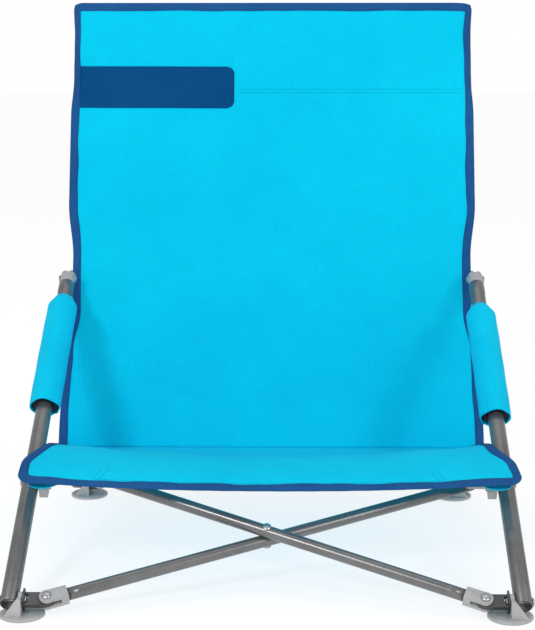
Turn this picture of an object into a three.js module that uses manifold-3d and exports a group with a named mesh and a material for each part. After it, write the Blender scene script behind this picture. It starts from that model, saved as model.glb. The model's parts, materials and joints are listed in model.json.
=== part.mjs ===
// Folding camp chair: a low sling chair on two crossed-tube frames.
// Millimetres, +Z up, +X to the sitter's left as seen from the front, +Y to the back.
// The chair is laid out from the front feet, then moved so that its origin is on the
// ground under the middle of its box.
import * as THREE from 'three';
import { mergeVertices } from 'three/addons/utils/BufferGeometryUtils.js';
import Module from 'manifold-3d';

const wasm = await Module();
wasm.setup();

// Driving dimensions
const GAP = 0.3;
const ARM_X = 266;
const POST_X = 254;
const PIVOT_X = 227;
const FOOT_DEPTH = 450;
const PIVOT_Z = 17;
const ARM_END_Y = 462;
const ARM_END_Z = 289;
const POST_LEAN = THREE.MathUtils.degToRad(12.1);
const POST_LENGTH = 628;
const LEG_RADIUS = 9.5;
const LEG_WALL = 1.2;
const LEG_START = -6;
const CROSS_ANGLE = THREE.MathUtils.degToRad(21.6);
const CROSS_RADIUS = 6.75;
const CROSS_WALL = 0.8;
const CROSS_SPREAD = 14;
const PIN_RADIUS = 2.5;
const BORE_RADIUS = 2.8;
const HEAD_RADIUS = 5;
const PLATE = 4;
const TONGUE_HALF = 2.4;
const TONGUE_HALF_WIDTH = 8.6;
const FOOT_RADIUS = 24;
const WEB = 3;
const WEB_START = 13.2;
const SLEEVE_HALF = 13;
const LUG_HALF = 2.4;
const HUB_LENGTH = 28;
const HUB_BLOCK = 12.5;
const WING_LOW = 6.4;
const WING_HIGH = 11.6;
const PAD_START = 283;
const PAD_END = 482;
const PAD_RADIUS = 17;
const SHEET = 3;
const ROUND = 20;
const PIN_SIDES = 10;

// Worked out from them
const ARM_RISE = ARM_END_Z - PIVOT_Z;
const ARM_LENGTH = Math.hypot(ARM_END_Y, ARM_RISE);
const ARM_ANGLE = Math.atan2(ARM_RISE, ARM_END_Y);
const CROSS_LENGTH = (2 * PIVOT_X) / Math.cos(CROSS_ANGLE);
const HUB_S = CROSS_LENGTH * Math.sin(CROSS_ANGLE);
const CROSS_TILT = Math.atan2(CROSS_SPREAD, CROSS_LENGTH);

const finishes = {
  tube: { color: 0x77797b, metalness: 0.7, roughness: 0.38 },
  plastic: { color: 0xa9acad, metalness: 0, roughness: 0.55 },
  steel: { color: 0x3c3e40, metalness: 0.8, roughness: 0.45 },
  rivet: { color: 0xb8babb, metalness: 0.9, roughness: 0.3 },
  sling: { color: 0x05b8e4, metalness: 0, roughness: 0.85 },
  pad: { color: 0x05b4de, metalness: 0, roughness: 0.85 },
};

// A closed mesh as a solid: vertices merged, and triangles without area left out.
function solid(geometry) {
  const bare = geometry.clone();
  bare.deleteAttribute('normal');
  bare.deleteAttribute('uv');
  const merged = mergeVertices(bare, 1e-3);
  const kept = [];
  for (let i = 0; i < merged.index.count; i += 3) {
    const [a, b, c] = [0, 1, 2].map((k) => merged.index.getX(i + k));
    if (a !== b && b !== c && c !== a) kept.push(a, b, c);
  }
  const vertProperties = new Float32Array(merged.attributes.position.array);
  const triVerts = new Uint32Array(kept);
  return new wasm.Manifold(new wasm.Mesh({ numProp: 3, vertProperties, triVerts }));
}

function surface(manifold) {
  const mesh = manifold.getMesh();
  const geometry = new THREE.BufferGeometry();
  geometry.setAttribute('position', new THREE.BufferAttribute(mesh.vertProperties, 3));
  geometry.setIndex(new THREE.BufferAttribute(mesh.triVerts, 1));
  geometry.computeVertexNormals();
  return geometry;
}

// The bodies joined, then each tool cut away.
function shaped(bodies, tools = []) {
  let whole = solid(bodies[0]);
  for (const body of bodies.slice(1)) whole = whole.add(solid(body));
  for (const tool of tools) whole = whole.subtract(solid(tool));
  return surface(whole);
}

function named(name, geometry, finish) {
  const mesh = new THREE.Mesh(geometry, new THREE.MeshStandardMaterial(finishes[finish]));
  mesh.name = name;
  return mesh;
}

// A box given by its lowest and highest corners.
function block(x0, y0, z0, x1, y1, z1) {
  const box = new THREE.BoxGeometry(x1 - x0, y1 - y0, z1 - z0);
  return box.translate((x0 + x1) / 2, (y0 + y1) / 2, (z0 + z1) / 2);
}

// A round bar from one end to the other along one axis, centred on the two other coordinates.
function bar(axis, radius, from, to, at = [0, 0, 0], sides = ROUND) {
  const rod = new THREE.CylinderGeometry(radius, radius, to - from, sides);
  rod.translate(0, (from + to) / 2, 0);
  if (axis === 'x') rod.rotateZ(-Math.PI / 2);
  if (axis === 'z') rod.rotateX(Math.PI / 2);
  return rod.translate(...at);
}

function ring(outer, inner) {
  const shape = new THREE.Shape().absarc(0, 0, outer, 0, 2 * Math.PI);
  shape.holes.push(new THREE.Path().absarc(0, 0, inner, 0, 2 * Math.PI, true));
  return shape;
}

// A straight tube along y.
function tube(outer, inner, from, to) {
  const path = new THREE.LineCurve3(new THREE.Vector3(0, from, 0), new THREE.Vector3(0, to, 0));
  const options = { steps: 1, extrudePath: path, curveSegments: ROUND / 2 };
  return new THREE.ExtrudeGeometry(ring(outer, inner), options);
}

// A rivet along one axis: a shank between two low domed heads.
function rivet(name, axis, from, to, at) {
  const half = (to - from) / 2;
  const rim = HEAD_RADIUS;
  const profile = [
    [0, -half - 2.2], [rim * 0.7, -half - 1.7], [rim, -half],
    [PIN_RADIUS, -half], [PIN_RADIUS, half],
    [rim, half], [rim * 0.7, half + 1.7], [0, half + 2.2],
  ].map(([r, y]) => new THREE.Vector2(r, y));
  const pin = new THREE.LatheGeometry(profile, PIN_SIDES).translate(0, from + half, 0);
  if (axis === 'x') pin.rotateZ(-Math.PI / 2);
  if (axis === 'z') pin.rotateX(Math.PI / 2);
  const mesh = named(name, surface(solid(pin)), 'rivet');
  mesh.position.set(...at);
  return mesh;
}

// A leg tube with its cross bores, open at its lower end.
function leg(name, x, from, to, bores) {
  const holes = bores.map((s) => bar('x', BORE_RADIUS, -15, 15, [0, s, 0], PIN_SIDES));
  const wall = tube(LEG_RADIUS, LEG_RADIUS - LEG_WALL, from, to);
  const mesh = named(name, shaped([wall], holes), 'tube');
  mesh.position.x = x;
  return mesh;
}

// A foot: a disc with a low dome, an upright plate that the leg is riveted to, and a web
// before it that slopes down outwards.
function foot(name, side, legX) {
  const plateOut = legX - LEG_RADIUS - GAP;
  const plateIn = plateOut - PLATE;
  const middle = (plateIn + plateOut) / 2 - 1;
  const profile = [
    [0, 0], [FOOT_RADIUS - 1.2, 0], [FOOT_RADIUS, 1], [FOOT_RADIUS, 3],
    [FOOT_RADIUS - 1.5, 4], [FOOT_RADIUS - 6, 4.2], [0, 4.4],
  ].map(([r, y]) => new THREE.Vector2(r, y));
  const disc = new THREE.LatheGeometry(profile, 24).rotateX(Math.PI / 2);
  disc.translate(side * middle, 0, 0);
  const outline = new THREE.Shape();
  outline.moveTo(-17, 2);
  outline.lineTo(17, 2);
  outline.lineTo(8.5, PIVOT_Z);
  outline.absarc(0, PIVOT_Z, 8.5, 0, Math.PI);
  const options = { depth: PLATE, bevelEnabled: false, curveSegments: 10 };
  const plate = new THREE.ExtrudeGeometry(outline, options);
  plate.rotateX(Math.PI / 2).rotateZ(Math.PI / 2);
  plate.translate(side > 0 ? plateIn : -plateOut, 0, 0);
  const slope = new THREE.Shape();
  slope.moveTo(plateIn, 3);
  slope.lineTo(plateOut + 15, 3);
  slope.lineTo(plateOut, PIVOT_Z + 6);
  slope.lineTo(plateIn, PIVOT_Z + 6);
  const web = new THREE.ExtrudeGeometry(slope, { depth: WEB, bevelEnabled: false });
  web.rotateX(Math.PI / 2).translate(0, -WEB_START, 0);
  const brace = block(plateIn, -15, 3, plateOut, -4, PIVOT_Z + 6);
  if (side < 0) {
    web.rotateZ(Math.PI).translate(0, -2 * WEB_START - WEB, 0);
    brace.translate(-plateIn - plateOut, 0, 0);
  }
  const hole = bar('x', BORE_RADIUS, -400, 400, [0, 0, PIVOT_Z], PIN_SIDES);
  return named(name, shaped([disc, plate, web, brace], [hole]), 'plastic');
}

// A bracket inside the foot plate: a web, and a tongue to the cross tube's pivot with a
// window round the foot rivet's head.
function clevis(name, side, legX) {
  const webOut = legX - LEG_RADIUS - PLATE - 2 * GAP;
  const webIn = webOut - 2.2;
  const web = block(webIn, -9, -8, webOut, 9, 8);
  const width = TONGUE_HALF_WIDTH;
  const tongue = block(PIVOT_X, -width, -TONGUE_HALF, webIn + 1, width, TONGUE_HALF);
  const tip = bar('z', 8, -TONGUE_HALF, TONGUE_HALF, [PIVOT_X, 0, 0]);
  const window = block(webIn - 3, -5.6, -9, webIn, 5.6, 9);
  const holes = [
    bar('z', BORE_RADIUS, -20, 20, [PIVOT_X, 0, 0], PIN_SIDES),
    bar('x', BORE_RADIUS, webIn - 3, webOut + 3, [0, 0, 0], PIN_SIDES),
  ];
  const geometry = shaped([web, tongue, tip], [window, ...holes]);
  if (side < 0) geometry.rotateY(Math.PI);
  return named(name, geometry, 'steel');
}

// Mirrors a solid across x = 0, and turns its faces the right way again.
function mirrored(geometry) {
  geometry.applyMatrix4(new THREE.Matrix4().makeScale(-1, 1, 1));
  const index = geometry.index.array;
  for (let i = 0; i < index.length; i += 3) [index[i], index[i + 1]] = [index[i + 1], index[i]];
  geometry.computeVertexNormals();
  return geometry;
}

// A hub that slides on a leg: a thin sleeve with a block on its inner side, and a wing with
// a hollow-curved gusset that reaches in to the cross tube's upper pivot. The seat's bracket
// has two more blocks, below and before its own.
function hub(name, side, legX, bracket) {
  const low = side > 0 ? -WING_HIGH : WING_LOW;
  const high = low + WING_HIGH - WING_LOW;
  const half = HUB_LENGTH / 2;
  const blockOut = legX - LEG_RADIUS;
  const blockIn = Math.max(blockOut - HUB_BLOCK, PIVOT_X + HEAD_RADIUS + 3);
  const curve = blockIn - PIVOT_X - HEAD_RADIUS - 1.5;
  const outline = new THREE.Shape();
  outline.moveTo(blockIn + 1, -side * WING_HIGH);
  outline.lineTo(blockIn + 1, side * 9);
  outline.absarc(blockIn - curve, side * 9, curve, 0, -side * Math.PI / 2, side > 0);
  outline.lineTo(blockIn - curve, -side * WING_HIGH);
  const gusset = new THREE.ExtrudeGeometry(outline, { depth: 9, bevelEnabled: false });
  const bodies = [
    bar('y', LEG_RADIUS + 2.2, -half, half, [legX, 0, 0], 24),
    block(blockIn, -half, -9, blockOut + 2, half, 9),
    block(PIVOT_X, -8, low, blockIn + 1, 8, high),
    bar('z', 8, low, high, [PIVOT_X, 0, 0]),
    gusset.rotateX(Math.PI / 2).translate(0, 4.5, 0),
  ];
  if (bracket) {
    bodies.push(block(blockIn + 1, -half - 15, -6, blockOut - 2, 1 - half, 6));
    bodies.push(block(blockIn, -7, 8, blockOut - GAP, 7, 19));
  }
  const holes = [
    bar('y', LEG_RADIUS + 0.4, -30, 30, [legX, 0, 0], 24),
    bar('z', BORE_RADIUS, -30, 30, [PIVOT_X, 0, 0], PIN_SIDES),
  ];
  const geometry = shaped(bodies, holes);
  const mesh = named(name, side < 0 ? mirrored(geometry) : geometry, 'plastic');
  mesh.position.y = HUB_S;
  return mesh;
}

// A cross tube along y from its lower pivot at 0: round, then pressed flat at its upper end.
function crossTube(name) {
  const top = CROSS_LENGTH / Math.cos(CROSS_TILT);
  const pressStart = top - 42;
  const pressEnd = top - 18;
  const round = tube(CROSS_RADIUS, CROSS_RADIUS - CROSS_WALL, 22 + GAP, pressStart + 0.5);
  const press = new THREE.CylinderGeometry(CROSS_RADIUS, CROSS_RADIUS, 1, ROUND, 5);
  const spot = press.attributes.position;
  for (let i = 0; i < spot.count; i += 1) {
    const t = spot.getY(i) + 0.5;
    const ease = t * t * (3 - 2 * t);
    spot.setX(i, spot.getX(i) * (1 + 0.25 * ease));
    spot.setZ(i, spot.getZ(i) * (1 - 0.7 * ease));
    spot.setY(i, pressStart + t * (pressEnd - pressStart));
  }
  const flat = block(-8.2, pressEnd - 0.5, -2, 8.2, top, 2);
  const end = bar('z', 8.2, -2, 2, [0, top, 0]);
  const holes = [
    bar('z', BORE_RADIUS, -20, 20, [0, top / 2, 0], PIN_SIDES),
    bar('z', BORE_RADIUS, -20, 20, [0, top, 0], PIN_SIDES),
  ];
  return named(name, shaped([round, press, flat, end], holes), 'tube');
}

// The plastic end of a cross tube: a forked eye over the bracket's tongue, and a spigot in
// the tube.
function tubeEnd(name) {
  const eye = bar('z', 7.8, -7, 7);
  const body = block(-7.4, 0, -7, 7.4, 22, 7);
  const collar = bar('y', 8, 15, 22);
  const spigot = bar('y', CROSS_RADIUS - CROSS_WALL - GAP, 21, 36);
  const slot = block(-10, -10, -TONGUE_HALF - 0.6, 10, 14, TONGUE_HALF + 0.6);
  const hole = bar('z', BORE_RADIUS, -20, 20, [0, 0, 0], PIN_SIDES);
  return named(name, shaped([eye, body, collar, spigot], [slot, hole]), 'plastic');
}

// One crossed frame: two tubes, their lower ends and the five rivets on the frame's plane.
function crossFrame(prefix) {
  const frame = new THREE.Group();
  for (const [letter, side] of [['a', 1], ['b', -1]]) {
    const one = new THREE.Group();
    one.position.set(side * PIVOT_X, 0, 0);
    one.rotation.order = 'ZXY';
    one.rotation.set(side * CROSS_TILT, 0, side * (Math.PI / 2 - CROSS_ANGLE));
    one.add(crossTube(`${prefix}_cross_tube_${letter}`));
    one.add(tubeEnd(`${prefix}_tube_end_${letter}`));
    frame.add(one);
    const word = side > 0 ? 'right' : 'left';
    frame.add(rivet(`${prefix}_lower_rivet_${word}`, 'z', -7.6, 7.6, [side * PIVOT_X, 0, 0]));
    const other = side > 0 ? 'left' : 'right';
    const ends = side > 0 ? [6.1, 16.5] : [-16.5, -6.1];
    const at = [-side * PIVOT_X, HUB_S, 0];
    frame.add(rivet(`${prefix}_upper_rivet_${other}`, 'z', ...ends, at));
  }
  frame.add(rivet(`${prefix}_centre_rivet`, 'z', -14.4, 14.4, [0, HUB_S / 2, 0]));
  return frame;
}

// The arm tube's upper end: a plug with a slot for the slider's lug, rounded at its tip.
function armCap(name, side) {
  const start = ARM_LENGTH - 31 + GAP;
  const tip = ARM_LENGTH + 10;
  const r = LEG_RADIUS;
  const profile = [
    [0, start - 24], [r - LEG_WALL - GAP, start - 24], [r - LEG_WALL - GAP, start],
    [r, start], [r, tip - 3.5], [r - 2.5, tip - 0.9], [0, tip],
  ].map(([x, y]) => new THREE.Vector2(x, y));
  const plug = new THREE.LatheGeometry(profile, ROUND);
  const half = LUG_HALF + 0.4;
  const slot = block(-half, ARM_LENGTH - 12, -12, half, ARM_LENGTH + 12, 12);
  const hole = bar('x', BORE_RADIUS, -15, 15, [0, ARM_LENGTH, 0], PIN_SIDES);
  const mesh = named(name, shaped([plug], [slot, hole]), 'plastic');
  mesh.position.x = side * ARM_X;
  return mesh;
}

// The slider on a back post, with a lug that reaches forward to the arm tube's end.
function postSlider(name, side, s, n) {
  const sleeve = block(
    POST_X - SLEEVE_HALF, s - HUB_LENGTH / 2, -SLEEVE_HALF,
    POST_X + SLEEVE_HALF, s + HUB_LENGTH / 2, SLEEVE_HALF - 1,
  );
  const arm = block(ARM_X - LUG_HALF, s - 8.5, 0, ARM_X + LUG_HALF, s + 8.5, n);
  const eye = bar('x', 8.5, ARM_X - LUG_HALF, ARM_X + LUG_HALF, [0, s, n]);
  const holes = [
    bar('y', LEG_RADIUS + 0.4, s - 30, s + 30, [POST_X, 0, 0]),
    bar('x', BORE_RADIUS, ARM_X - 9, ARM_X + 9, [0, s, n], PIN_SIDES),
  ];
  const geometry = shaped([sleeve, arm, eye], holes);
  return named(name, side < 0 ? mirrored(geometry) : geometry, 'plastic');
}

function postCap(name, side) {
  const r = LEG_RADIUS;
  const profile = [
    [0, POST_LENGTH - 14], [r - LEG_WALL - GAP, POST_LENGTH - 14],
    [r - LEG_WALL - GAP, POST_LENGTH + GAP], [r, POST_LENGTH + GAP],
    [r, POST_LENGTH + 2], [r - 2, POST_LENGTH + 3.5], [0, POST_LENGTH + 4],
  ].map(([x, y]) => new THREE.Vector2(x, y));
  const mesh = named(name, surface(solid(new THREE.LatheGeometry(profile, ROUND))), 'plastic');
  mesh.position.x = side * POST_X;
  return mesh;
}

function armPad(name, side) {
  const geometry = tube(PAD_RADIUS, LEG_RADIUS + 1, PAD_START, PAD_END);
  const mesh = named(name, surface(solid(geometry)), 'pad');
  mesh.position.x = side * ARM_X;
  return mesh;
}

// The foot, clevis and rivet where a leg meets the ground; the foot stays level.
function ankle(parent, level, prefix, side, legX) {
  const word = side > 0 ? 'right' : 'left';
  level.add(foot(`${prefix}_foot_${word}`, side, legX));
  parent.add(clevis(`${prefix}_clevis_${word}`, side, legX));
  const out = legX + LEG_RADIUS + GAP;
  const inner = legX - LEG_RADIUS - PLATE - 2 * GAP - 2.2 - GAP;
  const ends = side > 0 ? [inner, out] : [-out, -inner];
  parent.add(rivet(`${prefix}_foot_rivet_${word}`, 'x', ...ends, [0, 0, 0]));
}

const chair = new THREE.Group();

// The front plane: x across, y up along the arm tubes, z square to them.
const frontPlane = new THREE.Group();
frontPlane.position.z = PIVOT_Z;
frontPlane.rotation.x = ARM_ANGLE;
const frontLevel = new THREE.Group();

// The back plane: x across, y up along the posts, z forward.
const backPlane = new THREE.Group();
backPlane.position.set(0, FOOT_DEPTH, PIVOT_Z);
backPlane.rotation.x = Math.PI / 2 - POST_LEAN;
const backLevel = new THREE.Group();
backLevel.position.y = FOOT_DEPTH;
chair.add(frontPlane, frontLevel, backPlane, backLevel);

// The arm tube's end, measured in the back plane.
const endY = ARM_END_Y - FOOT_DEPTH;
const endZ = ARM_END_Z - PIVOT_Z;
const lugS = endY * Math.sin(POST_LEAN) + endZ * Math.cos(POST_LEAN);
const lugN = endZ * Math.sin(POST_LEAN) - endY * Math.cos(POST_LEAN);

for (const side of [1, -1]) {
  const word = side > 0 ? 'right' : 'left';
  const armTop = ARM_LENGTH - 31;
  frontPlane.add(leg(`arm_tube_${word}`, side * ARM_X, LEG_START, armTop, [0]));
  frontPlane.add(armCap(`arm_cap_${word}`, side));
  frontPlane.add(armPad(`arm_pad_${word}`, side));
  frontPlane.add(hub(`seat_bracket_${word}`, side, ARM_X, true));
  ankle(frontPlane, frontLevel, 'front', side, ARM_X);
  const rivetEnds = [side * ARM_X - LEG_RADIUS - GAP, side * ARM_X + LEG_RADIUS + GAP];
  frontPlane.add(rivet(`arm_end_rivet_${word}`, 'x', ...rivetEnds, [0, ARM_LENGTH, 0]));
  backPlane.add(leg(`back_post_${word}`, side * POST_X, LEG_START, POST_LENGTH, [0]));
  backPlane.add(postCap(`post_cap_${word}`, side));
  backPlane.add(postSlider(`post_slider_${word}`, side, lugS, lugN));
  backPlane.add(hub(`rear_hub_${word}`, side, POST_X, false));
  ankle(backPlane, backLevel, 'rear', side, POST_X);
}
frontPlane.add(crossFrame('front'));
backPlane.add(crossFrame('rear'));

// A strip of cloth along x: an outline through its side view, given thickness and width.
function strip(points, half) {
  const upper = points.map(([y, z]) => new THREE.Vector2(y, z + SHEET));
  const lower = points.map(([y, z]) => new THREE.Vector2(y, z)).reverse();
  const outline = new THREE.Shape([...lower, ...upper]);
  const cloth = new THREE.ExtrudeGeometry(outline, { depth: 2 * half, bevelEnabled: false });
  cloth.rotateX(Math.PI / 2).rotateZ(Math.PI / 2);
  return cloth.translate(-half, 0, 0);
}

const CREASE = [430, 69];
const SEAT_WIDE = 268;
const SEAT_NARROW = 240;
const SEAT_STEP_Y = 150;
const seatLine = [
  [69, 124], [SEAT_STEP_Y, 130], [190, 125], [300, 98], [CREASE[0] - 6, CREASE[1]],
];
const wideLine = [[69, 124], [SEAT_STEP_Y, 130]];
const seatCloth = shaped([strip(seatLine, SEAT_NARROW), strip(wideLine, SEAT_WIDE)]);
chair.add(named('sling_seat', seatCloth, 'sling'));

const BACK_HALF = 261;
const backCloth = new THREE.Shape([
  new THREE.Vector2(48, 31), new THREE.Vector2(640, 14),
  new THREE.Vector2(640, 14 + SHEET), new THREE.Vector2(48, 31 + SHEET),
]);
const backOptions = { depth: 2 * BACK_HALF, bevelEnabled: false };
const backSheet = new THREE.ExtrudeGeometry(backCloth, backOptions);
backSheet.rotateX(Math.PI / 2).rotateZ(Math.PI / 2).translate(-BACK_HALF, 0, 0);
backPlane.add(named('sling_back', surface(solid(backSheet)), 'sling'));

const extent = new THREE.Box3().setFromObject(chair, true);
chair.position.y = -(extent.min.y + extent.max.y) / 2;

export default chair;
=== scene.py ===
# Folding camp chair: a fabric sling, padded arms and finished metal and plastic around the
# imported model. Lengths are in metres, given as millimetres times MM.
import json

import bmesh
import bpy
import numpy as np
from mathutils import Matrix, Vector


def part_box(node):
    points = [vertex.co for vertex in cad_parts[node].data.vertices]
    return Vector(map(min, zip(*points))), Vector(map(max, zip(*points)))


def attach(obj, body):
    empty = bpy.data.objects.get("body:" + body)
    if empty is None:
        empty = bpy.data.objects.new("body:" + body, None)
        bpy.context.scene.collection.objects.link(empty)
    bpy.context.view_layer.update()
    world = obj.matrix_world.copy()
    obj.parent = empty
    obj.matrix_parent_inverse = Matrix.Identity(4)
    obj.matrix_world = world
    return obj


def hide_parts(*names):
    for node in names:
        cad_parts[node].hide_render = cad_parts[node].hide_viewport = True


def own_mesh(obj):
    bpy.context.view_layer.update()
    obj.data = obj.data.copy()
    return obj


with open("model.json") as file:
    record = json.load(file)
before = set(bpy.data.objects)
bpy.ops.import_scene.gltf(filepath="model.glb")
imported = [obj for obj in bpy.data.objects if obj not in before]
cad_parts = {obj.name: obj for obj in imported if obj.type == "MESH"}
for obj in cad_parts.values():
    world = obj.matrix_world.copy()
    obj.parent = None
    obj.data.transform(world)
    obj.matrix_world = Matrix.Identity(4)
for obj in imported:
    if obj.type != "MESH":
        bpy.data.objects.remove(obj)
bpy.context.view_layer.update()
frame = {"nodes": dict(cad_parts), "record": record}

# Driving dimensions of the frame: lengths in metres, angles in radians
MM = 0.001
SHIFT_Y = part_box("rear_foot_right")[0][1] + 24 * MM - 450 * MM
PIVOT_Z = 17 * MM
FOOT_DEPTH = 450 * MM
ARM_X, POST_X, PIVOT_X = 266 * MM, 254 * MM, 227 * MM
ARM_END = np.array([462 * MM, 272 * MM])
ARM_LENGTH = float(np.hypot(*ARM_END))
ARM_ANGLE = float(np.arctan2(ARM_END[1], ARM_END[0]))
POST_LEAN = np.radians(12.1)
POST_LENGTH = 628 * MM
LEG_R = 9.5 * MM
LEG_BORE = 8.3 * MM
LEG_START = -6 * MM
SOCKET, SLOT_DEPTH = 18 * MM, 13 * MM
CROSS_ANGLE = np.radians(21.6)
CROSS_LENGTH = 2 * PIVOT_X / np.cos(CROSS_ANGLE)
CROSS_R = 6.75 * MM
CROSS_SPREAD = 14 * MM
CROSS_START = 22.3 * MM
PRESS_START, PRESS_END = 42 * MM, 18 * MM
TAB, TAB_HALF = 8.2 * MM, 2 * MM
CROSS_SIDES = 48
HEAD_R, SHANK_R, HEAD_RISE = 5 * MM, 2.5 * MM, 2.2 * MM
PAD_START, PAD_END = 283 * MM, 482 * MM

SIDES = (("right", 1), ("left", -1))


# ---------------------------------------------------------------- places

def plane(y0, angle):
    """Origin and the across, along and square directions of a leg plane that leans by angle."""
    along = np.array([0, np.cos(angle), np.sin(angle)])
    square = np.array([0, -np.sin(angle), np.cos(angle)])
    return np.array([0, y0 + SHIFT_Y, PIVOT_Z]), np.array([1.0, 0, 0]), along, square


FRONT = plane(0, ARM_ANGLE)
BACK = plane(FOOT_DEPTH, np.pi / 2 - POST_LEAN)


def place(where, x, s, n):
    """The point x across, s along and n square to a leg plane; the three may be arrays."""
    origin, across, along, square = where
    x, s, n = np.broadcast_arrays(x, s, n)
    return origin + x[..., None] * across + s[..., None] * along + n[..., None] * square


def smooth(value, low, high):
    """0 below low, 1 above high and a smooth step between."""
    t = np.clip((value - low) / (high - low), 0, 1)
    return t * t * (3 - 2 * t)


# ---------------------------------------------------------------- meshes

def add_mesh(name, points, faces, uv=None):
    """A mesh object at the origin from points and faces, with an optional UV for each point."""
    mesh = bpy.data.meshes.new(name)
    mesh.from_pydata(points.tolist(), [], faces if isinstance(faces, list) else faces.tolist())
    if uv is not None:
        layer = mesh.uv_layers.new(name="UVMap")
        corner = np.zeros(len(mesh.loops), np.int32)
        mesh.loops.foreach_get("vertex_index", corner)
        layer.data.foreach_set("uv", uv[corner].astype(np.float32).ravel())
    mesh.polygons.foreach_set("use_smooth", np.ones(len(mesh.polygons), bool))
    mesh.update()
    piece = bpy.data.objects.new(name, mesh)
    bpy.context.scene.collection.objects.link(piece)
    return piece


def run_along(path):
    """The distance from a path's start to each of its points."""
    return np.concatenate([[0], np.cumsum(np.linalg.norm(np.diff(path, axis=0), axis=1))])


def unit(vectors):
    return vectors / np.linalg.norm(vectors, axis=-1)[..., None]


def grid_faces(rows, columns, close=False):
    """Four-sided faces of a grid of rows by columns points; close joins the last column to the first."""
    i, j = np.meshgrid(np.arange(rows - 1), np.arange(columns if close else columns - 1), indexing="ij")
    right = (j + 1) % columns
    corners = [i * columns + j, i * columns + right, (i + 1) * columns + right, (i + 1) * columns + j]
    return np.stack(corners, -1).reshape(-1, 4)


def recalculate(piece, merge=0.0):
    """Turns every face outwards, after its doubles are merged."""
    work = bmesh.new()
    work.from_mesh(piece.data)
    if merge:
        bmesh.ops.remove_doubles(work, verts=work.verts, dist=merge)
    bmesh.ops.recalc_face_normals(work, faces=work.faces)
    work.to_mesh(piece.data)
    work.free()


def revolve(name, axis_from, axis_to, profile, sides=56):
    """A profile of (radius, distance) turned about the line between two points; radius 0 closes an end.
    A point is axis_from + distance * axis + radius * (cos a * side + sin a * up)."""
    start, end = np.array(axis_from, float), np.array(axis_to, float)
    axis = (end - start) / np.linalg.norm(end - start)
    side = np.cross(axis, [0.31, 0.17, 0.93])
    side /= np.linalg.norm(side)
    up = np.cross(axis, side)
    radius, distance = np.array(profile, float).T
    turn = np.linspace(0, 2 * np.pi, sides, endpoint=False)
    ring = np.cos(turn)[:, None] * side + np.sin(turn)[:, None] * up
    points = start + distance[:, None, None] * axis + radius[:, None, None] * ring
    v, u = np.meshgrid(distance, turn / (2 * np.pi), indexing="ij")
    uv = np.stack([u, v], -1).reshape(-1, 2)
    piece = add_mesh(name, points.reshape(-1, 3), grid_faces(len(radius), sides, True), uv)
    recalculate(piece, 1e-6)
    return piece


def sweep(name, path, points):
    """A closed section carried along a path, with capped ends: points[i, j] is the section's
    point j where the path is at its point i."""
    rows, columns = points.shape[:2]
    v, u = np.meshgrid(run_along(path), np.linspace(0, 0.03, columns), indexing="ij")
    first = np.arange(1, columns - 1)
    cap = np.stack([np.zeros_like(first), first, first + 1], -1)
    ends = np.concatenate([cap, cap[:, ::-1] + (rows - 1) * columns])
    faces = grid_faces(rows, columns, True).tolist() + ends.tolist()
    piece = add_mesh(name, points.reshape(-1, 3), faces, np.stack([u, v], -1).reshape(-1, 2))
    recalculate(piece)
    return piece


# ---------------------------------------------------------------- node groups

def group(name, inputs, outputs):
    """An empty shader group with float inputs and (name, kind) outputs."""
    tree = bpy.data.node_groups.new(name, "ShaderNodeTree")
    for label, value in inputs:
        socket = tree.interface.new_socket(label, in_out="INPUT", socket_type="NodeSocketFloat")
        socket.default_value = value
    for label, kind in outputs:
        tree.interface.new_socket(label, in_out="OUTPUT", socket_type=kind)
    return tree, tree.nodes.new("NodeGroupInput"), tree.nodes.new("NodeGroupOutput")


def maths(tree, operation, *values):
    """A Math node whose inputs are numbers or sockets."""
    node = tree.nodes.new("ShaderNodeMath")
    node.operation = operation
    for slot, value in zip(node.inputs, values):
        if isinstance(value, (int, float)):
            slot.default_value = value
        else:
            tree.links.new(value, slot)
    return node.outputs[0]


def noise(tree, vector, scale, detail=3.0, roughness=0.5):
    node = tree.nodes.new("ShaderNodeTexNoise")
    node.inputs["Detail"].default_value = detail
    node.inputs["Roughness"].default_value = roughness
    if isinstance(scale, (int, float)):
        node.inputs["Scale"].default_value = scale
    else:
        tree.links.new(scale, node.inputs["Scale"])
    tree.links.new(vector, node.inputs["Vector"])
    return node.outputs["Fac"]


def stretched(tree, vector, x, y, z):
    node = tree.nodes.new("ShaderNodeMapping")
    node.inputs["Scale"].default_value = (x, y, z)
    tree.links.new(vector, node.inputs["Vector"])
    return node.outputs["Vector"]


def coordinates(tree, kind):
    return tree.nodes.new("ShaderNodeTexCoord").outputs[kind]


def weave_group():
    """Plain weave on UV metres: threads over and under, with slubs and a soft mottle."""
    sockets = [("Height", "NodeSocketFloat"), ("Slub", "NodeSocketFloat"), ("Mottle", "NodeSocketFloat")]
    tree, given, out = group("plain_weave", [("Threads", 1500.0)], sockets)
    uv = coordinates(tree, "UV")
    parts = tree.nodes.new("ShaderNodeSeparateXYZ")
    tree.links.new(uv, parts.inputs[0])
    count = maths(tree, "MULTIPLY", given.outputs["Threads"], np.pi)
    warp = maths(tree, "SINE", maths(tree, "MULTIPLY", parts.outputs["X"], count))
    weft = maths(tree, "SINE", maths(tree, "MULTIPLY", parts.outputs["Y"], count))
    crossing = maths(tree, "MULTIPLY", warp, weft)
    height = maths(tree, "MULTIPLY_ADD", crossing, 0.5, 0.5)
    slub_x = noise(tree, stretched(tree, uv, 900, 40, 1), 1.0, 2.0)
    slub_y = noise(tree, stretched(tree, uv, 40, 900, 1), 1.0, 2.0)
    slub = maths(tree, "MULTIPLY", maths(tree, "ADD", slub_x, slub_y), 0.5)
    tree.links.new(maths(tree, "MULTIPLY_ADD", slub, 0.6, height), out.inputs["Height"])
    tree.links.new(slub, out.inputs["Slub"])
    tree.links.new(noise(tree, coordinates(tree, "Object"), 9.0, 4.0), out.inputs["Mottle"])
    return tree


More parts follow.
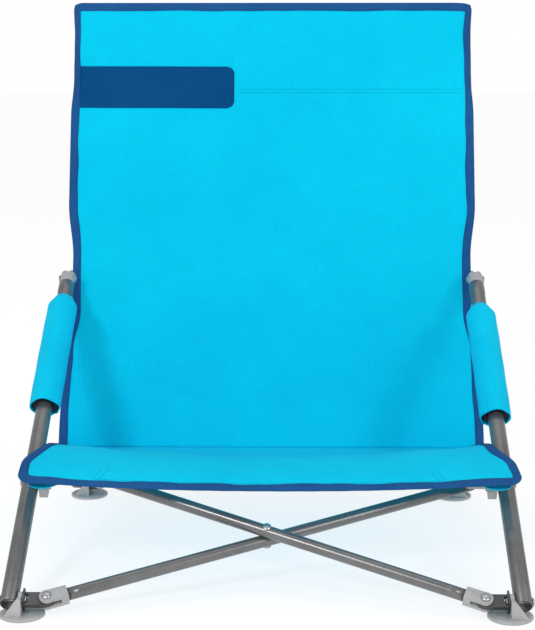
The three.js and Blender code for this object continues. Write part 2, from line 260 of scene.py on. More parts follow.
def grain_group():
    """Moulded or coated grain on Object metres: fine pits and soft scuffs."""
    sockets = [("Grain", "NodeSocketFloat"), ("Scuff", "NodeSocketFloat")]
    tree, given, out = group("surface_grain", [("Scale", 900.0)], sockets)
    spot = coordinates(tree, "Object")
    tree.links.new(noise(tree, spot, given.outputs["Scale"], 3.0, 0.6), out.inputs["Grain"])
    tree.links.new(noise(tree, spot, 28.0, 5.0, 0.65), out.inputs["Scuff"])
    return tree


WEAVE, GRAIN = weave_group(), grain_group()


def new_material(name, rough, metal=0.0, specular=0.5, sheen=0.0, sheen_tint=(1, 1, 1, 1), coat=0.0):
    material = bpy.data.materials.new(name)
    material.use_nodes = True
    shader = material.node_tree.nodes["Principled BSDF"]
    shader.inputs["Roughness"].default_value = rough
    shader.inputs["Metallic"].default_value = metal
    shader.inputs["Specular IOR Level"].default_value = specular
    shader.inputs["Sheen Weight"].default_value = sheen
    shader.inputs["Sheen Roughness"].default_value = 0.5
    shader.inputs["Sheen Tint"].default_value = sheen_tint
    shader.inputs["Coat Weight"].default_value = coat
    shader.inputs["Coat Roughness"].default_value = 0.3
    return material, material.node_tree, shader


def effect(tree, which, **values):
    node = tree.nodes.new("ShaderNodeGroup")
    node.node_tree = which
    for name, value in values.items():
        node.inputs[name].default_value = value
    return node.outputs


def ramp(tree, factor, low, high, start=0.3, end=0.7):
    node = tree.nodes.new("ShaderNodeValToRGB")
    node.color_ramp.elements[0].position, node.color_ramp.elements[1].position = start, end
    node.color_ramp.elements[0].color, node.color_ramp.elements[1].color = (*low, 1), (*high, 1)
    tree.links.new(factor, node.inputs["Fac"])
    return node.outputs["Color"]


def bump(tree, shader, height, strength, distance):
    node = tree.nodes.new("ShaderNodeBump")
    node.inputs["Strength"].default_value = strength
    node.inputs["Distance"].default_value = distance
    tree.links.new(height, node.inputs["Height"])
    tree.links.new(node.outputs["Normal"], shader.inputs["Normal"])


def cloth_material(name, low, high, threads, strength=0.35, rough=0.88, sheen=0.01):
    """Woven polyester: slubs vary the colour, the weave gives the bump."""
    material, tree, shader = new_material(name, rough, specular=0.06, sheen=sheen)
    weave = effect(tree, WEAVE, Threads=threads)
    slub = maths(tree, "MULTIPLY", weave["Slub"], 0.6)
    mottle = maths(tree, "MULTIPLY", weave["Mottle"], 0.4)
    tint = maths(tree, "ADD", slub, mottle)
    tree.links.new(ramp(tree, tint, low, high, 0.35, 0.65), shader.inputs["Base Color"])
    tree.links.new(maths(tree, "MULTIPLY_ADD", weave["Slub"], 0.2, rough - 0.1), shader.inputs["Roughness"])
    bump(tree, shader, weave["Height"], strength, 0.0003)
    return material


def solid_material(name, low, high, rough, metal=0.0, scale=900.0, strength=0.15, coat=0.0):
    """Coated metal or moulded plastic: scuffs vary colour and gloss, the grain gives the bump."""
    material, tree, shader = new_material(name, rough, metal, coat=coat)
    grain = effect(tree, GRAIN, Scale=scale)
    tree.links.new(ramp(tree, grain["Scuff"], low, high), shader.inputs["Base Color"])
    gloss = maths(tree, "MULTIPLY_ADD", grain["Scuff"], 0.22, rough - 0.11)
    tree.links.new(gloss, shader.inputs["Roughness"])
    bump(tree, shader, grain["Grain"], strength, 0.0002)
    return material


SLING = cloth_material("cyan_sling_cloth", (0.0, 0.48, 0.73), (0.001, 0.58, 0.82), 1400.0)
PAD_CLOTH = cloth_material("cyan_pad_cloth", (0.0, 0.48, 0.74), (0.002, 0.58, 0.84), 1600.0)
TAPE = cloth_material("blue_edge_tape", (0.008, 0.060, 0.20), (0.018, 0.105, 0.30), 1100.0, 0.6)
PATCH = cloth_material("deep_blue_patch", (0.0, 0.050, 0.17), (0.003, 0.075, 0.23), 1400.0, 0.3)
THREAD = cloth_material("cyan_thread", (0.0, 0.33, 0.56), (0.002, 0.40, 0.64), 3000.0, 0.4)
FOAM = solid_material("navy_foam", (0.006, 0.012, 0.025), (0.014, 0.022, 0.045), 0.9, 0.0, 500.0, 0.6)
TUBE = solid_material(
    "grey_coated_tube", (0.13, 0.13, 0.133), (0.19, 0.19, 0.193), 0.30, 0.65, 1400.0, 0.10, 0.35,
)
PLASTIC = solid_material(
    "light_grey_plastic", (0.33, 0.335, 0.34), (0.41, 0.415, 0.42), 0.5, 0.0, 1100.0, 0.2,
)
STEEL = solid_material(
    "dark_pressed_steel", (0.06, 0.061, 0.063), (0.11, 0.112, 0.115), 0.42, 0.6, 900.0, 0.2,
)
ZINC = solid_material("plated_rivet", (0.42, 0.42, 0.43), (0.58, 0.58, 0.6), 0.3, 0.95, 1500.0, 0.1)
FINISH = {"tube": TUBE, "plastic": PLASTIC, "steel": STEEL, "rivet": ZINC, "sling": SLING, "pad": PAD_CLOTH}


# ---------------------------------------------------------------- frame pieces

BODY = {node: body for body, nodes in frame["record"]["behaviour"]["bodies"].items() for node in nodes}
SLOT = {row["node"]: row["material_slot"] for row in frame["record"]["subparts"]}


def stand_for(piece, node, material=None):
    """The piece takes a CAD node's place, body and finish."""
    piece.data.materials.clear()
    piece.data.materials.append(material or FINISH[SLOT[node]])
    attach(piece, BODY[node])
    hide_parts(node)
    return piece


def rivet(node, axis):
    """A rivet on its CAD node's middle: a shank between two domed heads, turned about the axis."""
    low, high = (np.array(c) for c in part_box(node))
    middle = (low + high) / 2
    axis = np.array(axis, float)
    mesh = frame["nodes"][node].data
    co = np.zeros(len(mesh.vertices) * 3, np.float32)
    mesh.vertices.foreach_get("co", co)
    reach = np.abs((co.reshape(-1, 3) - middle) @ axis).max()
    under = reach - HEAD_RISE
    dome = [(HEAD_R * np.sin(a), reach - HEAD_RISE * (1 - np.cos(a))) for a in np.linspace(0, np.pi / 2, 9)]
    top = dome + [(HEAD_R, under), (SHANK_R, under)]
    profile = [(r, -d) for r, d in top] + top[::-1]
    piece = revolve(f"{node}_turned", middle, middle + axis, profile, 32)
    return stand_for(piece, node)


def rounded(node, width=0.9 * MM):
    """A moulded or pressed piece from its CAD shape, with its edges rounded."""
    mesh = frame["nodes"][node].data.copy()
    mesh.name = f"{node}_moulded"
    piece = bpy.data.objects.new(f"{node}_moulded", mesh)
    bpy.context.scene.collection.objects.link(piece)
    work = bmesh.new()
    work.from_mesh(mesh)
    bmesh.ops.remove_doubles(work, verts=work.verts, dist=1e-6)
    bmesh.ops.dissolve_limit(work, angle_limit=np.radians(2), verts=work.verts, edges=work.edges)
    work.to_mesh(mesh)
    work.free()
    mesh.polygons.foreach_set("use_smooth", np.ones(len(mesh.polygons), bool))
    edge = piece.modifiers.new("edges", "BEVEL")
    edge.width, edge.segments, edge.limit_method = width, 3, "ANGLE"
    edge.angle_limit, edge.harden_normals = np.radians(32), True
    edge.use_clamp_overlap = True
    return stand_for(piece, node)


def tube(node, start, end, outer, inner, socket=0.0, sides=64):
    """An open tube with a softly rounded rim at each end. Its far end may be widened over a length
    into a thin socket that goes over a cap."""
    length = np.linalg.norm(np.array(end) - np.array(start))
    lip = (outer - inner) * 0.4
    profile = [(inner, 0), (outer - lip, 0), (outer, lip), (outer, length * 0.5)]
    if socket:
        mouth = length - socket
        wide, bore = outer + 0.5 * MM, outer + 0.1 * MM
        profile += [(outer, mouth - 2 * MM), (wide, mouth), (wide, length - lip), (wide - 0.2 * MM, length)]
        profile += [(bore, length), (bore, mouth), (inner, mouth - 2 * MM)]
    else:
        profile += [(outer, length - lip), (outer - lip, length), (inner, length)]
    profile += [(inner, length * 0.5), (inner, 0)]
    return stand_for(revolve(f"{node}_drawn", start, end, profile, sides), node)


def tilted(side, where):
    """The along, across and square directions of one cross tube, and its lower pivot."""
    spread = np.arctan2(CROSS_SPREAD, CROSS_LENGTH)
    _, across, along, square = where
    in_plane = -side * np.cos(CROSS_ANGLE) * across + np.sin(CROSS_ANGLE) * along
    direction = np.cos(spread) * in_plane + side * np.sin(spread) * square
    width = np.cross(direction, square)
    width /= np.linalg.norm(width)
    return direction, width, np.cross(width, direction), place(where, side * PIVOT_X, 0.0, 0.0)


def cross_tube(node, side, where):
    """A round tube pressed flat at its upper end: the section's half-width and half-height go from
    the round radius to a flat tab over the press, and the tab's end is a half circle."""
    direction, width, up, pivot = tilted(side, where)
    top = CROSS_LENGTH / np.cos(np.arctan2(CROSS_SPREAD, CROSS_LENGTH))
    end_turn = np.linspace(0, np.pi / 2, 10)
    body = np.linspace(CROSS_START, top - PRESS_START, 30)
    press = np.linspace(top - PRESS_START, top - PRESS_END, 14)[1:]
    nose = top + TAB * np.sin(end_turn)
    t = np.concatenate([body, press, nose])
    ease = smooth(t, top - PRESS_START, top - PRESS_END)
    half_width = CROSS_R + ease * (TAB - CROSS_R)
    half_width[-len(end_turn):] = TAB * np.cos(end_turn)
    half_height = CROSS_R + ease * (TAB_HALF - CROSS_R)
    half_height[-1] = 0.4 * MM
    turn = np.linspace(0, 2 * np.pi, CROSS_SIDES, endpoint=False)
    square_off = 1 - 0.45 * ease[:, None]
    cosine, sine = np.cos(turn)[None], np.sin(turn)[None]
    x = half_width[:, None] * np.sign(cosine) * np.abs(cosine) ** square_off
    z = half_height[:, None] * np.sign(sine) * np.abs(sine) ** square_off
    points = pivot + t[:, None, None] * direction + x[..., None] * width + z[..., None] * up
    mouth = pivot + t[0] * direction + (x[:1, :, None] * width + z[:1, :, None] * up) * 0.87
    points = np.concatenate([mouth, points])
    faces = grid_faces(len(points), CROSS_SIDES, True)
    piece = add_mesh(f"{node}_pressed", points.reshape(-1, 3), faces)
    work = bmesh.new()
    work.from_mesh(piece.data)
    work.verts.ensure_lookup_table()
    last = (len(points) - 1) * CROSS_SIDES
    for ring in (range(CROSS_SIDES), range(last + CROSS_SIDES - 1, last - 1, -1)):
        work.faces.new([work.verts[i] for i in ring])
    bmesh.ops.recalc_face_normals(work, faces=work.faces)
    work.to_mesh(piece.data)
    work.free()
    return stand_for(piece, node)


def cap_hood(word, side):
    """The closed upper face of an arm tube's cap, over the slot: part of a cylinder along the tube,
    then part of a sphere about the rivet, both of one radius."""
    radius = LEG_R + 0.25 * MM
    turn = np.radians(np.linspace(-82, 82, 41))
    straight = np.linspace(-12.5 * MM, 0, 8)
    tip = np.radians(np.linspace(0, 55, 14))[1:]
    along = np.concatenate([straight, np.zeros(len(tip))])[:, None]
    tilt = np.concatenate([np.zeros(len(straight)), tip])[:, None]
    across = np.broadcast_to(radius * np.sin(turn), (len(along), len(turn)))
    rise = radius * np.cos(turn)
    s = ARM_LENGTH + along + rise * np.sin(tilt)
    points = place(FRONT, side * ARM_X + across, s, rise * np.cos(tilt))
    hood = add_mesh(f"arm_cap_hood_{word}", points.reshape(-1, 3), grid_faces(*points.shape[:2]))
    shell = hood.modifiers.new("shell", "SOLIDIFY")
    shell.thickness, shell.offset = 0.45 * MM, 0
    hood.data.materials.append(PLASTIC)
    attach(hood, f"{word}_arm")


for word, side in SIDES:
    arm_foot = place(FRONT, side * ARM_X, LEG_START, 0.0)
    arm_top = place(FRONT, side * ARM_X, ARM_LENGTH - SLOT_DEPTH, 0.0)
    tube(f"arm_tube_{word}", arm_foot, arm_top, LEG_R, LEG_BORE, SOCKET)
    cap_hood(word, side)
    post_foot = place(BACK, side * POST_X, LEG_START, 0.0)
    post_top = place(BACK, side * POST_X, POST_LENGTH, 0.0)
    tube(f"back_post_{word}", post_foot, post_top, LEG_R, LEG_BORE)
    for node in (f"arm_end_rivet_{word}", f"front_foot_rivet_{word}", f"rear_foot_rivet_{word}"):
        rivet(node, (1, 0, 0))
    for prefix, where in (("front", FRONT), ("rear", BACK)):
        rivet(f"{prefix}_lower_rivet_{word}", where[3])
        rivet(f"{prefix}_upper_rivet_{word}", where[3])
        rounded(f"{prefix}_foot_{word}", 0.8 * MM)
        rounded(f"{prefix}_clevis_{word}", 0.7 * MM)
    for node in ("seat_bracket", "rear_hub", "post_slider", "arm_cap", "post_cap"):
        rounded(f"{node}_{word}", 1.2 * MM if node != "arm_cap" else 0.5 * MM)
for prefix, where in (("front", FRONT), ("rear", BACK)):
    rivet(f"{prefix}_centre_rivet", where[3])
    for letter, side in (("a", 1), ("b", -1)):
        cross_tube(f"{prefix}_cross_tube_{letter}", side, where)
        rounded(f"{prefix}_tube_end_{letter}", 0.9 * MM)


# ---------------------------------------------------------------- sling

CLOTH = 1.1 * MM
BACK_TOP = 640 * MM
TAPE_WIDTH = 9.5 * MM


def back_half_width(s):
    """Half the back's width at a height along the posts: a slow taper, a flare at the foot, and
    drawn in past the sliders' lugs."""
    waist = smooth(s, 175 * MM, 235 * MM) * (1 - smooth(s, 300 * MM, 370 * MM))
    ears = 1.5 * MM * smooth(s, 600 * MM, 640 * MM)
    taper = 0.010 * np.clip(600 * MM - s, 0, None)
    flare = 6 * MM * (1 - smooth(s, 60 * MM, 220 * MM))
    return 265 * MM + taper + flare - 7.0 * MM * waist + ears


def back_front(u, s):
    """How far the cloth stands before the post plane: level over the posts, hollow between them,
    with a shallow dimple beside each edge, one slanting crease at the upper right, soft waves and
    a curl forward into the seat. Along the pocket it curves back round the posts as a quarter
    circle."""
    line = 14 * MM + (640 * MM - s) * 0.0215 + 4.3 * MM * (1 - smooth(s, 48 * MM, 120 * MM))
    wrap = np.clip((np.abs(u) * back_half_width(s) - POST_X) / (back_half_width(s) - POST_X), 0, 1)
    pocket = 1 - smooth(s, 490 * MM, 540 * MM) * (1 - np.cos(np.pi / 2 * wrap))
    hollow = -6 * MM * np.sin(np.pi * np.clip((s - 48 * MM) / (592 * MM), 0, 1)) * (1 - u ** 2)
    dimple = -5.5 * MM * np.exp(-((s - 330 * MM) / (75 * MM)) ** 2 - ((np.abs(u) - 0.88) / 0.07) ** 2)
    slant = u - 0.93 + (s - 600 * MM) * -0.9
    crease = -2.2 * MM * np.exp(-(slant / 0.035) ** 2) * smooth(s, 480 * MM, 540 * MM)
    wave = 0.9 * MM * np.sin(11 * u + 9 * s / (592 * MM)) * np.sin(np.pi * (s - 48 * MM) / (592 * MM))
    return (line + hollow + dimple + crease + wave) * pocket


def back_point(u, s):
    """A point of the back's front face: u from -1 to 1 across, s along the posts."""
    return place(BACK, u * back_half_width(s), s, back_front(u, s))


def pocket_point(u, s):
    """The back flap of the top pocket: close behind the front cloth between the posts, and round
    the posts at the sides."""
    half = back_half_width(s)
    wrap = np.clip((np.abs(u) * half - POST_X) / (half - POST_X), 0, 1)
    behind = -12.7 * MM * np.cos(np.pi / 2 * wrap)
    over_post = smooth(np.abs(u), 0.80, 0.93)
    between = np.minimum(back_front(u, s) - 3.5 * MM, 2 * MM)
    depth = between * (1 - over_post) + behind * over_post
    return place(BACK, u * half, s, depth)


def sling_back():
    """One cloth: up the front, over the post tops and down to the pocket's hem behind."""
    u = np.linspace(-1, 1, 121)
    s = np.linspace(48 * MM, BACK_TOP - 4 * MM, 150)
    uu, ss = np.meshgrid(u, s)
    front = back_point(uu, ss)
    top_front, top_back = back_point(u, np.full_like(u, s[-1])), pocket_point(u, np.full_like(u, s[-1]))
    turn = np.linspace(0, np.pi, 9)[1:-1, None, None]
    middle, half = (top_front + top_back) / 2, (top_front - top_back) / 2
    fold = middle + np.cos(turn) * half + np.sin(turn) * 5 * MM * BACK[2]
    flap_s = np.linspace(BACK_TOP - 4 * MM, 525 * MM, 34)
    fu, fs = np.meshgrid(u, flap_s)
    rear = pocket_point(fu, fs)
    points = np.concatenate([front, fold, rear])
    v = run_along(points[:, len(u) // 2])
    uv = np.stack(np.broadcast_arrays(u[None] * 0.264, v[:, None]), -1).reshape(-1, 2)
    piece = add_mesh("sling_back_cloth", points.reshape(-1, 3), grid_faces(len(points), len(u)), uv)
    thick = piece.modifiers.new("cloth", "SOLIDIFY")
    thick.thickness, thick.offset = CLOTH, 0
    return piece, float(v[-1])


CORNER_ROUND = 15 * MM
CORNER_SHARE = 0.09
SEAT_SIDE_Y = np.array([62, 75, 100, 130, 165, 205, 260, 320, 375, 410, 430]) * MM
SEAT_SIDE_Z = np.array([126, 132, 136.5, 139, 139, 133, 118, 101, 85, 76, 70.5]) * MM
SEAT_WIDE_Z = np.array([116, 122, 126, 127, 125.5, 118, 103, 87, 76, 71.5, 70.5]) * MM


def seat_point(u, t):
    """A point of the seat: t runs from 0 at the front edge to 1 at the crease, u across.
    The side line and the middle line are smooth curves, and the cloth sags between them. The
    front corners are quarter circles."""
    knots = np.linspace(0, 1, len(SEAT_SIDE_Y))
    fine = np.linspace(0, 1, 201)
    lines = []
    for values in (SEAT_SIDE_Y, SEAT_SIDE_Z, SEAT_WIDE_Z):
        rough = np.interp(fine, knots, values)
        padded = np.concatenate([2 * rough[0] - rough[12:0:-1], rough, 2 * rough[-1] - rough[-2:-14:-1]])
        lines.append(np.interp(t, fine, np.convolve(padded, np.ones(25) / 25, "valid")))
    y, side_z, mid_z = lines
    middle = 1 - np.abs(u) ** 2.2
    wide = 268 * MM - 13 * MM * smooth(t, 0.20, 0.42) + 20 * MM * smooth(t, 0.7, 1.0)
    turn = np.clip(1 - t / CORNER_SHARE, 0, 1)
    wide = wide - CORNER_ROUND * (1 - np.sqrt(1 - turn ** 2))
    askew = 3 * MM * (1 - smooth(t, 0, 0.4))
    ripple = 0.8 * MM * np.sin(17 * u + 5 * t) * np.sin(np.pi * t)
    corner = smooth(np.abs(u), 0.86, 1.0) * (1 - smooth(t, 0.0, 0.22))
    z = side_z * (1 - middle) + mid_z * middle + ripple
    y = y + 7 * MM * middle * (1 - smooth(t, 0, 0.3)) - 2 * MM * corner
    return np.stack([u * wide + askew, y + SHIFT_Y, z], -1)


def sling_seat():
    u, t = np.linspace(-1, 1, 121), np.linspace(0, 1, 110)
    uu, tt = np.meshgrid(u, t)
    points = seat_point(uu, tt)
    v = run_along(points[:, len(u) // 2])
    uv = np.stack(np.broadcast_arrays(u[None] * 0.262, v[:, None]), -1).reshape(-1, 2)
    piece = add_mesh("sling_seat_cloth", points.reshape(-1, 3), grid_faces(len(t), len(u)), uv)
    thick = piece.modifiers.new("cloth", "SOLIDIFY")
    thick.thickness, thick.offset = CLOTH, 0
    return piece, float(v[-1])


# The folded tape's loop: its share of the width in from the edge, how far it stands out past the
# edge, and its share of the half thickness, from the front face round to the back face.
TAPE_LOOP = np.array([
    (1, 0, 0.6), (0.97, 0, 1), (0.5, 0, 1.1), (0.03, 0, 1), (0, 0.9, 0.6), (0, 1.2, 0),
    (0, 0.9, -0.6), (0.03, 0, -1), (0.5, 0, -1.1), (0.97, 0, -1), (1, 0, -0.6),
])


def binding(name, point, samples, body, width=TAPE_WIDTH, seed=1, pucker=0.5):
    """Edge tape folded over an edge of the cloth. point(parameter, inset) is the cloth's place at a
    distance in from its edge. The loop lies on both faces, and its width wanders by five waves."""
    edge = point(samples, np.zeros_like(samples))
    run = run_along(edge)
    draw = np.random.default_rng(seed)
    widths = np.broadcast_to(width, run.shape).astype(float)
    for k in range(5):
        wave = np.pi * (k + 1.5) * run / 0.12 + draw.random() * 6.28
        widths = widths + pucker * MM * np.sin(wave) / (k + 1.5)
    bulge = pucker * 0.14 * MM * np.sin(2 * np.pi * run / 0.031 + draw.random() * 6)
    half = CLOTH / 2 + 0.75 * MM + bulge
    inset = TAPE_LOOP[:, 0] * widths[:, None]
    parameter = np.broadcast_to(samples[:, None], inset.shape)
    lying = point(parameter, inset)
    across = unit(point(parameter, inset + MM) - lying)
    along = unit(np.gradient(edge, axis=0))[:, None]
    normal = unit(np.cross(along, across))
    rise = (TAPE_LOOP[:, 2] * half[:, None])[..., None]
    out = (TAPE_LOOP[:, 1] * 1.4 * MM)[None, :, None]
    piece = sweep(name, edge, lying + rise * normal - out * across[:, 5:6])
    piece.data.materials.append(TAPE)
    gathers(piece, body)
    return piece


def gathers(piece, body):
    """A piece of the sling rides on its body, with a mesh of its own."""
    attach(piece, body)
    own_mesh(piece)


back_cloth, back_run = sling_back()
back_cloth.data.materials.append(SLING)
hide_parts("sling_back")
gathers(back_cloth, "right_post")
seat_cloth, seat_run = sling_seat()
seat_cloth.data.materials.append(SLING)
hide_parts("sling_seat")
gathers(seat_cloth, "seat_panel")


def back_side(side):
    """The back's edge on one side, as a place for a distance along the posts and an inset."""
    return lambda s, inset: back_point(side * (1 - inset / back_half_width(s)), s)


def seat_outline(q):
    """The seat's free edge as q runs from 0 at the left crease to 3 at the right one: up the left
    side to q = 1, along the front to q = 2, and back along the right side."""
    u = np.clip(2 * q - 3, -1, 1)
    t = 0.995 * (np.clip(1 - q, 0, 1) + np.clip(q - 2, 0, 1))
    return u, t


def seat_edge(q, inset):
    """The cloth's place at a distance in from the free edge, square to the edge in its surface."""
    u, t = seat_outline(q)
    small = 0.004
    before, after = seat_outline(q - small), seat_outline(q + small)
    along = unit(seat_point(*after) - seat_point(*before))
    inner_u, inner_t = u * 0.93, t + 0.02
    across = seat_point(inner_u + small, inner_t) - seat_point(inner_u, inner_t)
    deeper = seat_point(inner_u, inner_t + small) - seat_point(inner_u, inner_t)
    inward = unit(np.cross(unit(np.cross(across, deeper)), along))
    return seat_point(u, t) + inset[..., None] * inward


back_s = np.linspace(50 * MM, BACK_TOP - 3 * MM, 240)
back_tapes = [
    binding(f"back_binding_{word}", back_side(side), back_s, "right_post", seed=3 + side, pucker=0.8)
    for word, side in SIDES
]
top_edge = BACK_TOP - 0.5 * MM
back_tapes.append(binding(
    "back_binding_top", lambda u, inset: back_point(u, top_edge - inset), np.linspace(-0.995, 0.995, 200),
    "right_post", seed=9,
))
corner_q = CORNER_SHARE / 0.995
seat_q = np.concatenate([
    np.linspace(0.005, 1 - corner_q, 110), np.linspace(1 - corner_q, 1, 26)[1:],
    np.linspace(1, 2, 200)[1:], np.linspace(2, 2 + corner_q, 26)[1:],
    np.linspace(2 + corner_q, 2.995, 110)[1:],
])
lobes = 2.5 * MM * np.exp(-((np.abs(seat_q - 1.5) - 0.5) / 0.06) ** 2)
seat_tapes = [binding("seat_binding", seat_edge, seat_q, "seat_panel", TAPE_WIDTH - MM + lobes, 31, 1.1)]


PANEL_ROWS, PANEL_COLUMNS = 40, 60
PANEL_REACH = 0.26


def lay_on(name, point, u0, u1, v0, v1, lift, material, body, corner=0.0):
    """A thin panel sewn on the cloth: a grid in the cloth's own parameters, lifted off its face,
    with its far corners rounded by corner (a share of its height)."""
    a, b = np.meshgrid(np.linspace(0, 1, PANEL_COLUMNS), np.linspace(0, 1, PANEL_ROWS))
    edge = np.clip(np.abs(b - 0.5) * 2 - (1 - 2 * corner), 0, None) / (2 * corner + 1e-9)
    trim = corner * abs(v1 - v0) / PANEL_REACH * (1 - np.sqrt(np.clip(1 - edge ** 2, 0, 1)))
    end = u1 - trim
    u, v = u0 + a * (end - u0), v0 + b * (v1 - v0)
    points = point(u, v)
    du, dv = np.gradient(points, axis=1), np.gradient(points, axis=0)
    normal = unit(np.cross(du, dv))
    if normal[PANEL_ROWS // 2, PANEL_COLUMNS // 2, 1] > 0:
        normal = -normal
    points = points + normal * lift
    uv = np.stack([u * PANEL_REACH, v], -1).reshape(-1, 2)
    piece = add_mesh(name, points.reshape(-1, 3), grid_faces(PANEL_ROWS, PANEL_COLUMNS), uv)
    thick = piece.modifiers.new("cloth", "SOLIDIFY")
    thick.thickness, thick.offset = 0.5 * MM, 0
    recalculate(piece)
    piece.data.materials.append(material)
    gathers(piece, body)
    return piece


lay_on(
    "corner_patch", back_point, -0.965, -0.19, 499 * MM, 555 * MM,
    CLOTH / 2 + 0.45 * MM, PATCH, "right_post", corner=0.18,
)


def under_corner(u, t):
    """The under side of a front corner's pocket: it hangs below the seat in a low curve."""
    sag = 3 * MM + 6 * MM * np.sin(np.pi * np.clip((1 - np.abs(u)) / 0.15, 0, 1))
    return seat_point(u, t) - sag[..., None] * np.array([0, 0.2, 0.98])


for word, side in SIDES:
    lay_on(
        f"corner_pocket_{word}", under_corner, side * 0.965, side * 0.85, 0.035, 0.17, 0.0,
        SLING, "seat_panel",
    )


def stitches(name, point, samples, body, step=3.2 * MM, thread=0.32 * MM):
    """A row of stitches along point(parameter): each is a short capsule of six sides, lying on
    the cloth, all in one mesh."""
    path = point(samples)
    run = run_along(path)
    count = int(run[-1] / step)
    start = (np.arange(count) + 0.15) * step
    turn = np.linspace(0, 2 * np.pi, 6, endpoint=False)
    share = np.array([0, 0.12, 0.5, 0.88, 1.0])
    size = np.array([0.15, 0.9, 1.0, 0.9, 0.15]) * thread
    at = start[:, None] + share[None] * step * 0.72
    line = np.stack([np.interp(at, run, path[:, k]) for k in range(3)], -1)
    along = line[:, -1] - line[:, 0]
    along /= np.linalg.norm(along, axis=1)[:, None]
    up = np.broadcast_to(np.array([0.0, -0.96, 0.28]), along.shape)
    side = np.cross(along, up)
    side /= np.linalg.norm(side, axis=1)[:, None]
    up = np.cross(side, along)
    ring = np.cos(turn)[None, :, None] * side[:, None] + np.sin(turn)[None, :, None] * up[:, None]
    points = line[:, :, None] + size[None, :, None, None] * ring[:, None]
    faces = grid_faces(5, 6, True)
    caps = np.array([[0, 5, 4, 3], [0, 3, 2, 1], [24, 25, 26, 27], [24, 27, 28, 29]])
    every = np.concatenate([faces, caps])
    offsets = (np.arange(count) * 30)[:, None, None]
    piece = add_mesh(name, points.reshape(-1, 3), (every[None] + offsets).reshape(-1, 4))
    recalculate(piece)
    piece.data.materials.append(THREAD)
    gathers(piece, body)
    return piece


def on_back(u, s):
    return back_point(u, s) + (CLOTH / 2 + 0.15 * MM) * BACK[3]


def on_seat(u, t):
    return seat_point(u, t) + (CLOTH / 2 + 0.15 * MM) * np.array([0, -0.25, 0.97])


row_u = np.linspace(-0.17, 0.95, 160)
for k, height in enumerate((520, 524.5)):
    row = lambda u, h=height: on_back(u, np.full_like(u, h * MM))
    stitches(f"pocket_stitch_{k}", row, row_u, "right_post")
for word, side in SIDES:
    for k, offset in enumerate((0.70, 0.725)):
        line_t = np.linspace(0.03, 0.20, 40)
        stitches(
            f"corner_stitch_{word}_{k}",
            lambda t, o=offset, d=side: on_seat(d * (o - 0.25 * t), t),
            line_t,
            "seat_panel",
        )
hem_u = np.linspace(-0.7, 0.7, 200)
stitches("front_hem_stitch", lambda u: on_seat(u, np.full_like(u, 0.075)), hem_u, "seat_panel")


# ---------------------------------------------------------------- arm pads

# The right pad has slipped this far down its tube, and the left one this far up.
PAD_SLIP = 8 * MM


def pad_radius(turn, t):
    """The sleeve's radius round the tube: nearly round, with four faint lobes, a lap ridge on the
    lower inner side, soft wrinkles, and a shoulder drawn in at the upper end."""
    shoulder = 1 - 0.30 * (1 - smooth(1 - t, 0.0, 0.07)) - 0.02 * (1 - smooth(t, 0.0, 0.05))
    squared = 1 + 0.035 * np.cos(4 * turn)
    wrinkle = 0.018 * np.sin(3 * turn + 14 * t) * np.sin(9 * t + 1.3)
    ridge = 0.09 * np.exp(-((turn - 4.05) / 0.14) ** 2)
    return 18.0 * MM * shoulder * (squared + wrinkle + ridge)


def arm_pad(word, side):
    """A fabric sleeve over a foam tube, both open right through, on the arm tube's own axis."""
    body = f"{word}_arm"
    low, high = PAD_START - side * PAD_SLIP, PAD_END - side * PAD_SLIP
    turn = np.linspace(0, 2 * np.pi, 96, endpoint=False)
    share = np.linspace(0, 1, 90)
    tt, aa = np.meshgrid(share, turn, indexing="ij")
    outer = pad_radius(aa, tt)
    slant = 5 * MM * np.cos(aa) * (1 - smooth(tt, 0, 0.3))
    s = low + tt * (high - low) - slant * 0.6
    lay = [(outer, s), ((outer - 1.3 * MM)[::-1], s[::-1])]
    radius = np.concatenate([r for r, _ in lay])
    along = np.concatenate([d for _, d in lay])
    angle = np.concatenate([aa, aa])
    points = place(FRONT, side * ARM_X + side * radius * np.sin(angle), along, radius * np.cos(angle))
    points = np.concatenate([points, points[:1]])
    uv = np.stack([np.concatenate([angle, angle[:1]]) * 17 * MM, np.concatenate([along, along[:1]])], -1)
    faces = grid_faces(len(points), len(turn), True)
    sleeve = add_mesh(f"arm_pad_sleeve_{word}", points.reshape(-1, 3), faces, uv.reshape(-1, 2))
    recalculate(sleeve, 1e-6)
    sleeve.data.materials.append(PAD_CLOTH)
    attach(sleeve, body)
    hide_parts(f"arm_pad_{word}")
    start = place(FRONT, side * ARM_X, low + 4 * MM, 0.0)
    end = place(FRONT, side * ARM_X, high - 5 * MM, 0.0)
    length = float(np.linalg.norm(end - start))
    profile = [
        (10.2 * MM, 0), (12.5 * MM, -0.6 * MM), (14.6 * MM, 0.2 * MM), (15.0 * MM, 2 * MM),
        (15.0 * MM, length - 14 * MM), (11.2 * MM, length), (10.2 * MM, length - 1 * MM),
        (10.2 * MM, length * 0.5), (10.2 * MM, 0),
    ]
    foam = revolve(f"arm_pad_foam_{word}", start, end, profile, 64)
    foam.data.materials.append(FOAM)
    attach(foam, body)
    anchor = place(FRONT, side * ARM_X, 535 * MM, 0.0)
    for piece in (sleeve, foam):
        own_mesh(piece)


for word, side in SIDES:
    arm_pad(word, side)


# ---------------------------------------------------------------- stage

FLOOR_HALF = 30.0


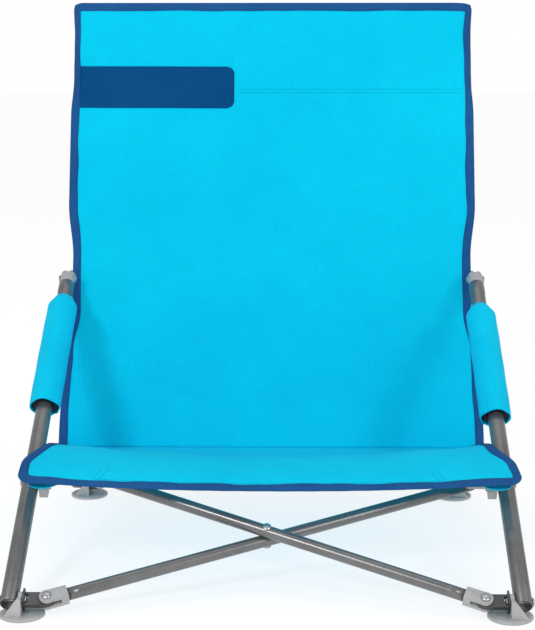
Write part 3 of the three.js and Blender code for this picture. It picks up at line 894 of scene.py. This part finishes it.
def studio():
    """A pale flat floor that glows a little, a white surround and three soft lights."""
    corners = FLOOR_HALF * np.array([[-1, -1, 0], [1, -1, 0], [1, 1, 0], [-1, 1, 0]], float)
    floor = add_mesh("studio_floor", corners, np.array([[0, 1, 2, 3]]))
    material, tree, shader = new_material("studio_white", 0.7, specular=0.2)
    shader.inputs["Base Color"].default_value = (0.30, 0.30, 0.30, 1)
    shader.inputs["Emission Color"].default_value = (1, 1, 1, 1)
    shader.inputs["Emission Strength"].default_value = 0.74
    floor.data.materials.append(material)
    world = bpy.data.worlds.new("studio")
    bpy.context.scene.world = world
    world.use_nodes = True
    tree = world.node_tree
    light = tree.nodes["Background"]
    light.inputs["Color"].default_value, light.inputs["Strength"].default_value = (1, 1, 1, 1), 0.66
    seen = tree.nodes.new("ShaderNodeBackground")
    seen.inputs["Color"].default_value, seen.inputs["Strength"].default_value = (1, 1, 1, 1), 1.0
    choice = tree.nodes.new("ShaderNodeMixShader")
    tree.links.new(tree.nodes.new("ShaderNodeLightPath").outputs["Is Camera Ray"], choice.inputs["Fac"])
    tree.links.new(light.outputs[0], choice.inputs[1])
    tree.links.new(seen.outputs[0], choice.inputs[2])
    tree.links.new(choice.outputs[0], tree.nodes["World Output"].inputs["Surface"])
    for name, spot, size, power in (
        ("key", (-1.3, -2.6, 1.9), 0.55, 32),
        ("fill", (1.9, -2.3, 1.5), 0.7, 17),
        ("top", (0.0, 0.3, 3.0), 2.4, 10),
    ):
        lamp = bpy.data.lights.new(name, "AREA")
        lamp.energy, lamp.size = power, size
        light = bpy.data.objects.new(name, lamp)
        light.location = spot
        light.rotation_euler = (Vector((0, 0, 0.3)) - Vector(spot)).to_track_quat("-Z", "Y").to_euler()
        bpy.context.scene.collection.objects.link(light)


FILM, LENS = 36.0, 87.314286
PITCH, YAW = np.radians(9.3), 0.0146
CAMERA_X, CAMERA_DEPTH, CAMERA_DROP = 0.024, 1.585, 0.313


def set_camera():
    """A long lens before the chair and a little to its right, pitched down. The floor under the
    front feet is CAMERA_DEPTH away along the view and CAMERA_DROP below its middle."""
    height = CAMERA_DROP * np.cos(PITCH) + CAMERA_DEPTH * np.sin(PITCH)
    back = CAMERA_DEPTH * np.cos(PITCH) - CAMERA_DROP * np.sin(PITCH)
    data = bpy.data.cameras.new("camera")
    data.sensor_fit, data.sensor_width, data.lens = "AUTO", FILM, LENS
    camera = bpy.data.objects.new("camera", data)
    camera.location = (CAMERA_X, SHIFT_Y - back, height)
    camera.rotation_euler = (np.pi / 2 - PITCH, 0, YAW)
    bpy.context.scene.collection.objects.link(camera)
    bpy.context.scene.camera = camera


studio()
set_camera()
bpy.context.scene.view_settings.view_transform = "Standard"
